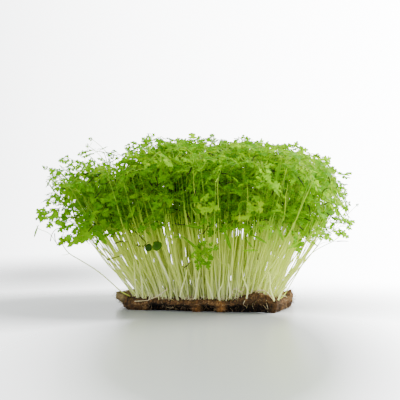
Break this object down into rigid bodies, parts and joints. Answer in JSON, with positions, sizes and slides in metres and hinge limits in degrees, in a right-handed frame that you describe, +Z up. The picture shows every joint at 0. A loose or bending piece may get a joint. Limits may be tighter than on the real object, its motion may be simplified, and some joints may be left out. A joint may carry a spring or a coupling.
{
  "type": "living microgreens slab on a growing mat",
  "caption": "Dense fan of slim-stemmed seedlings with finely cut green leaves, rooted in a shallow brown fibre mat with turned-up ends.",
  "frame": {"origin": "middle of the growing mat's flat underside", "axes": "+X along the mat's length and the canopy's longest extent, +Y towards the back, +Z up"},
  "size_m": [0.2156, 0.1532, 0.1131],
  "materials": {
    "coir_fibre": "rough matted brown plant fibre, almost black in its hollows",
    "seedling_green": "thin living leaf, satin, bright yellow-green, on pale whitish green stems",
    "sprout_green": "satin dark green seed leaves on a whitish stem"
  },
  "bodies": {
    "root": {"growing_mat": "coir_fibre", "round_leaf_sprout": "sprout_green", "seedlings_01": "seedling_green", "seedlings_02": "seedling_green", "seedlings_03": "seedling_green", "seedlings_04": "seedling_green", "seedlings_05": "seedling_green", "seedlings_06": "seedling_green", "seedlings_07": "seedling_green", "seedlings_08": "seedling_green", "seedlings_09": "seedling_green", "seedlings_10": "seedling_green", "seedlings_11": "seedling_green", "seedlings_12": "seedling_green", "seedlings_13": "seedling_green", "seedlings_14": "seedling_green", "seedlings_15": "seedling_green", "seedlings_16": "seedling_green", "seedlings_17": "seedling_green", "seedlings_18": "seedling_green", "seedlings_19": "seedling_green", "seedlings_20": "seedling_green", "seedlings_21": "seedling_green", "seedlings_22": "seedling_green", "seedlings_23": "seedling_green", "seedlings_24": "seedling_green", "seedlings_25": "seedling_green", "seedlings_26": "seedling_green", "seedlings_27": "seedling_green", "seedlings_28": "seedling_green", "seedlings_29": "seedling_green", "seedlings_30": "seedling_green"}
  },
  "joints": []
}
